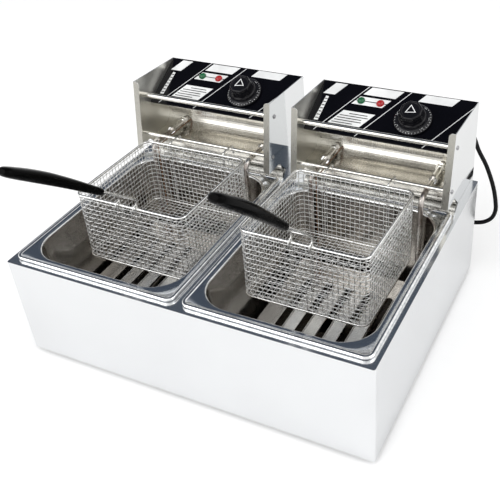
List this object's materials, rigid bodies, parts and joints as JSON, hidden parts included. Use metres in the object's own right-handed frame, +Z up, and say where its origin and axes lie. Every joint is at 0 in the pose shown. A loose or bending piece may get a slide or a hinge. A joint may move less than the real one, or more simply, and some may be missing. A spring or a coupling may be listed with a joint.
{
  "type": "deep fryer",
  "caption": "Countertop electric deep fryer with twin lift-out tanks, lift-off control heads, wire baskets with black grips, thermostat knobs and a mains cord.",
  "frame": {"origin": "on the surface that the fryer stands on, below the middle of its whole box, cord left out", "axes": "+Z up, +X to the fryer's right as seen from its front, +Y to the back"},
  "size_m": [0.5828, 0.6056, 0.4096],
  "materials": {
    "housing_steel": "satin",
    "base_steel": "satin",
    "foot_rubber": "matte",
    "channel_steel": "satin",
    "tank_steel": "polished",
    "head_steel": "brushed",
    "plate_steel": "satin",
    "panel_black": "gloss",
    "bar_chrome": "polished",
    "screw_steel": "polished",
    "thermostat_case": "matte",
    "terminal_ceramic": "gloss",
    "green_lens": "gloss",
    "red_lens": "gloss",
    "element_steel": "satin",
    "fitting_steel": "satin",
    "bulb_copper": "satin",
    "guard_steel": "polished",
    "gland_black": "matte",
    "knob_black": "satin",
    "basket_wire": "polished",
    "grip_black": "gloss",
    "cord_black": "satin",
    "plug_black": "satin"
  },
  "bodies": {
    "housing": {"housing_shell": "housing_steel", "base_plate": "base_steel", "feet": "foot_rubber", "centre_channel": "channel_steel"},
    "tank_left": {"tank_left": "tank_steel"},
    "tank_right": {"tank_right": "tank_steel"},
    "head_left": {"left_head_shell": "head_steel", "left_side_plates": "plate_steel", "left_control_panel": "panel_black", "left_lift_bar": "bar_chrome", "left_basket_rod": "bar_chrome", "left_bar_screws": "screw_steel", "left_thermostat": "thermostat_case", "left_terminal_block": "terminal_ceramic", "left_green_lamp": "green_lens", "left_red_lamp": "red_lens", "left_heating_element": "element_steel", "left_element_fittings": "fitting_steel", "left_sensor_bulb": "bulb_copper", "left_guard_plate": "guard_steel", "left_cord_gland": "gland_black"},
    "knob_left": {"left_knob": "knob_black"},
    "basket_left": {"left_basket_frame": "basket_wire", "left_mesh_front": "basket_wire", "left_mesh_rear": "basket_wire", "left_mesh_outer": "basket_wire", "left_mesh_inner": "basket_wire", "left_mesh_bottom": "basket_wire", "left_handle_wires": "basket_wire", "left_grip": "grip_black"},
    "head_right": {"right_head_shell": "head_steel", "right_side_plates": "plate_steel", "right_control_panel": "panel_black", "right_lift_bar": "bar_chrome", "right_basket_rod": "bar_chrome", "right_bar_screws": "screw_steel", "right_thermostat": "thermostat_case", "right_terminal_block": "terminal_ceramic", "right_green_lamp": "green_lens", "right_red_lamp": "red_lens", "right_heating_element": "element_steel", "right_element_fittings": "fitting_steel", "right_sensor_bulb": "bulb_copper", "right_guard_plate": "guard_steel", "right_cord_gland": "gland_black", "mains_cord": "cord_black", "cord_coil": "cord_black", "cord_tail": "cord_black", "plug": "plug_black"},
    "knob_right": {"right_knob": "knob_black"},
    "basket_right": {"right_basket_frame": "basket_wire", "right_mesh_front": "basket_wire", "right_mesh_rear": "basket_wire", "right_mesh_outer": "basket_wire", "right_mesh_inner": "basket_wire", "right_mesh_bottom": "basket_wire", "right_handle_wires": "basket_wire", "right_grip": "grip_black"}
  },
  "joints": [
    {"name": "tank_left_lift", "type": "slide", "parent": "housing", "child": "tank_left", "axis": [0, 0, 1], "range_m": [0, 0.16]},
    {"name": "head_left_lift", "type": "slide", "parent": "tank_left", "child": "head_left", "axis": [0, 0, 1], "range_m": [0, 0.18]},
    {"name": "basket_left_lift", "type": "slide", "parent": "head_left", "child": "basket_left", "axis": [0, 0, 1], "range_m": [0, 0.2]},
    {"name": "knob_left_turn", "type": "hinge", "parent": "head_left", "child": "knob_left", "pos_m": [-0.1044, 0.20531, 0.27399], "axis": [0, -0.4664, 0.8846], "range_deg": [-290, 0]},
    {"name": "tank_right_lift", "type": "slide", "parent": "housing", "child": "tank_right", "axis": [0, 0, 1], "range_m": [0, 0.16]},
    {"name": "head_right_lift", "type": "slide", "parent": "tank_right", "child": "head_right", "axis": [0, 0, 1], "range_m": [0, 0.18]},
    {"name": "basket_right_lift", "type": "slide", "parent": "head_right", "child": "basket_right", "axis": [0, 0, 1], "range_m": [0, 0.2]},
    {"name": "knob_right_turn", "type": "hinge", "parent": "head_right", "child": "knob_right", "pos_m": [0.1824, 0.20531, 0.27399], "axis": [0, -0.4664, 0.8846], "range_deg": [-290, 0]}
  ]
}
